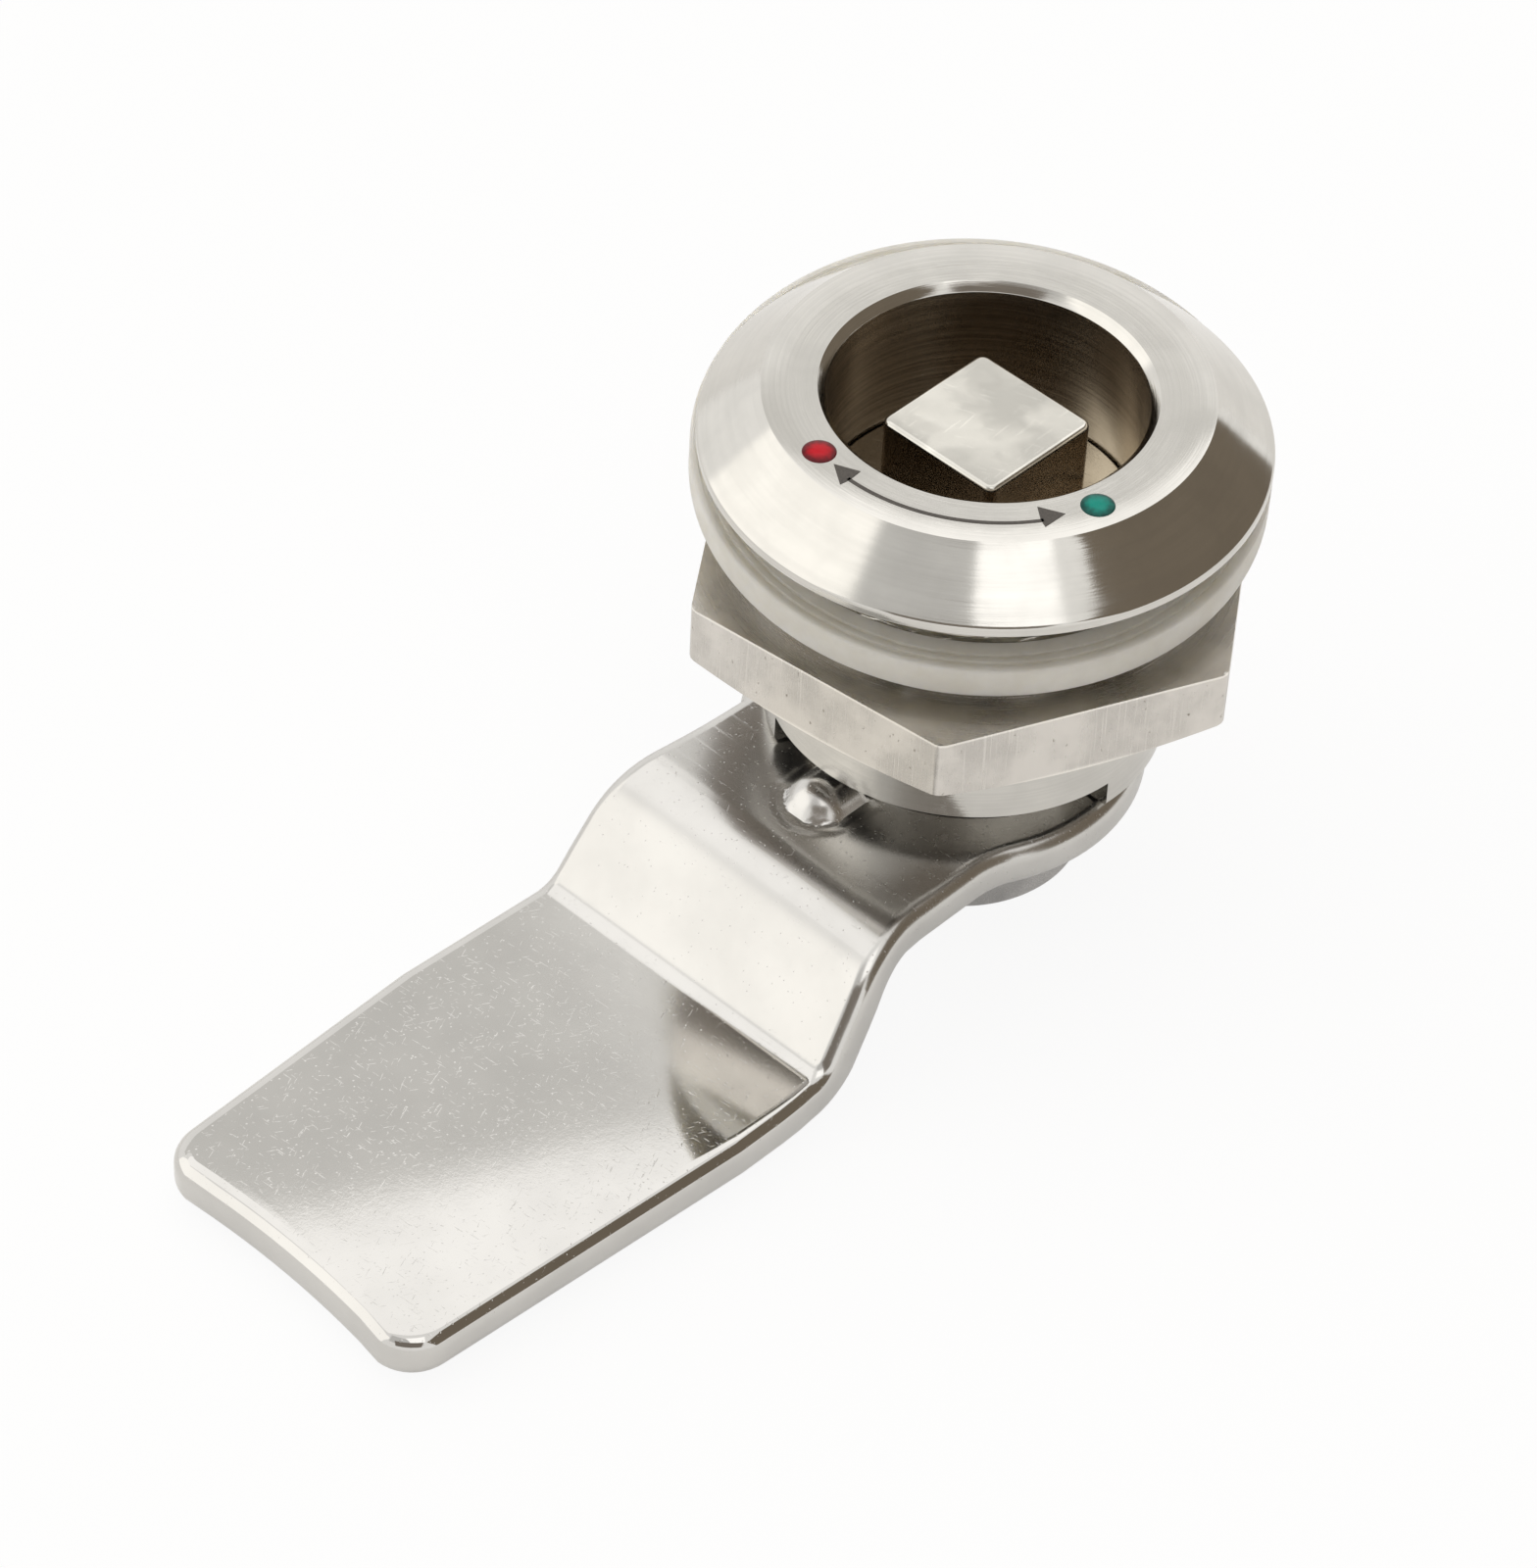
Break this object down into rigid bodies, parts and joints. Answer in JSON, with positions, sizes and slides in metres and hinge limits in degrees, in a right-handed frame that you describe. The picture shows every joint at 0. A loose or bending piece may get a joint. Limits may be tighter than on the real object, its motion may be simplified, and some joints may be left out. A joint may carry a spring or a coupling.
{
  "type": "quarter-turn cam lock",
  "caption": "Quarter-turn furniture lock: turned round head with a recessed square key spindle, threaded shank with nut and gasket, and a cranked cam.",
  "frame": {"origin": "on the lock's axis, in the plane of the head's underside, where the head seats on the outside of the door", "axes": "+Z along the lock's axis, out of the door towards the key; the cam's closed stop lies towards -Y and its open stop towards +X"},
  "size_m": [0.0347, 0.0594, 0.0277],
  "materials": {
    "turned_steel": "turned and satin polished",
    "spindle_steel": "bead blasted and polished",
    "nut_steel": "turned, with fine grinding lines on the flats",
    "cam_steel": "tumble polished, with fine scratches",
    "fastener_steel": "plain bright",
    "clear_silicone": "milky, slightly see-through silicone",
    "black_rubber": "greased black rubber",
    "red_enamel": "glossy enamel",
    "green_enamel": "glossy enamel"
  },
  "bodies": {
    "housing": {"housing": "turned_steel", "red_mark": "red_enamel", "green_mark": "green_enamel"},
    "rotor": {"spindle": "spindle_steel", "spindle_o_ring": "black_rubber", "cam": "cam_steel", "spring_washer": "fastener_steel", "cam_screw": "fastener_steel"},
    "nut": {"hex_nut": "nut_steel"},
    "gasket": {"panel_gasket": "clear_silicone"}
  },
  "joints": [
    {"name": "cam_turn", "type": "hinge", "parent": "housing", "child": "rotor", "pos_m": [0, 0, 0], "axis": [0, 0, 1], "range_deg": [-15, 75]},
    {"name": "nut_travel", "type": "slide", "parent": "housing", "child": "nut", "axis": [0, 0, 1], "range_m": [-0.0054, 0.0005]},
    {"name": "gasket_travel", "type": "slide", "parent": "housing", "child": "gasket", "axis": [0, 0, 1], "range_m": [-0.0003, 0]}
  ]
}
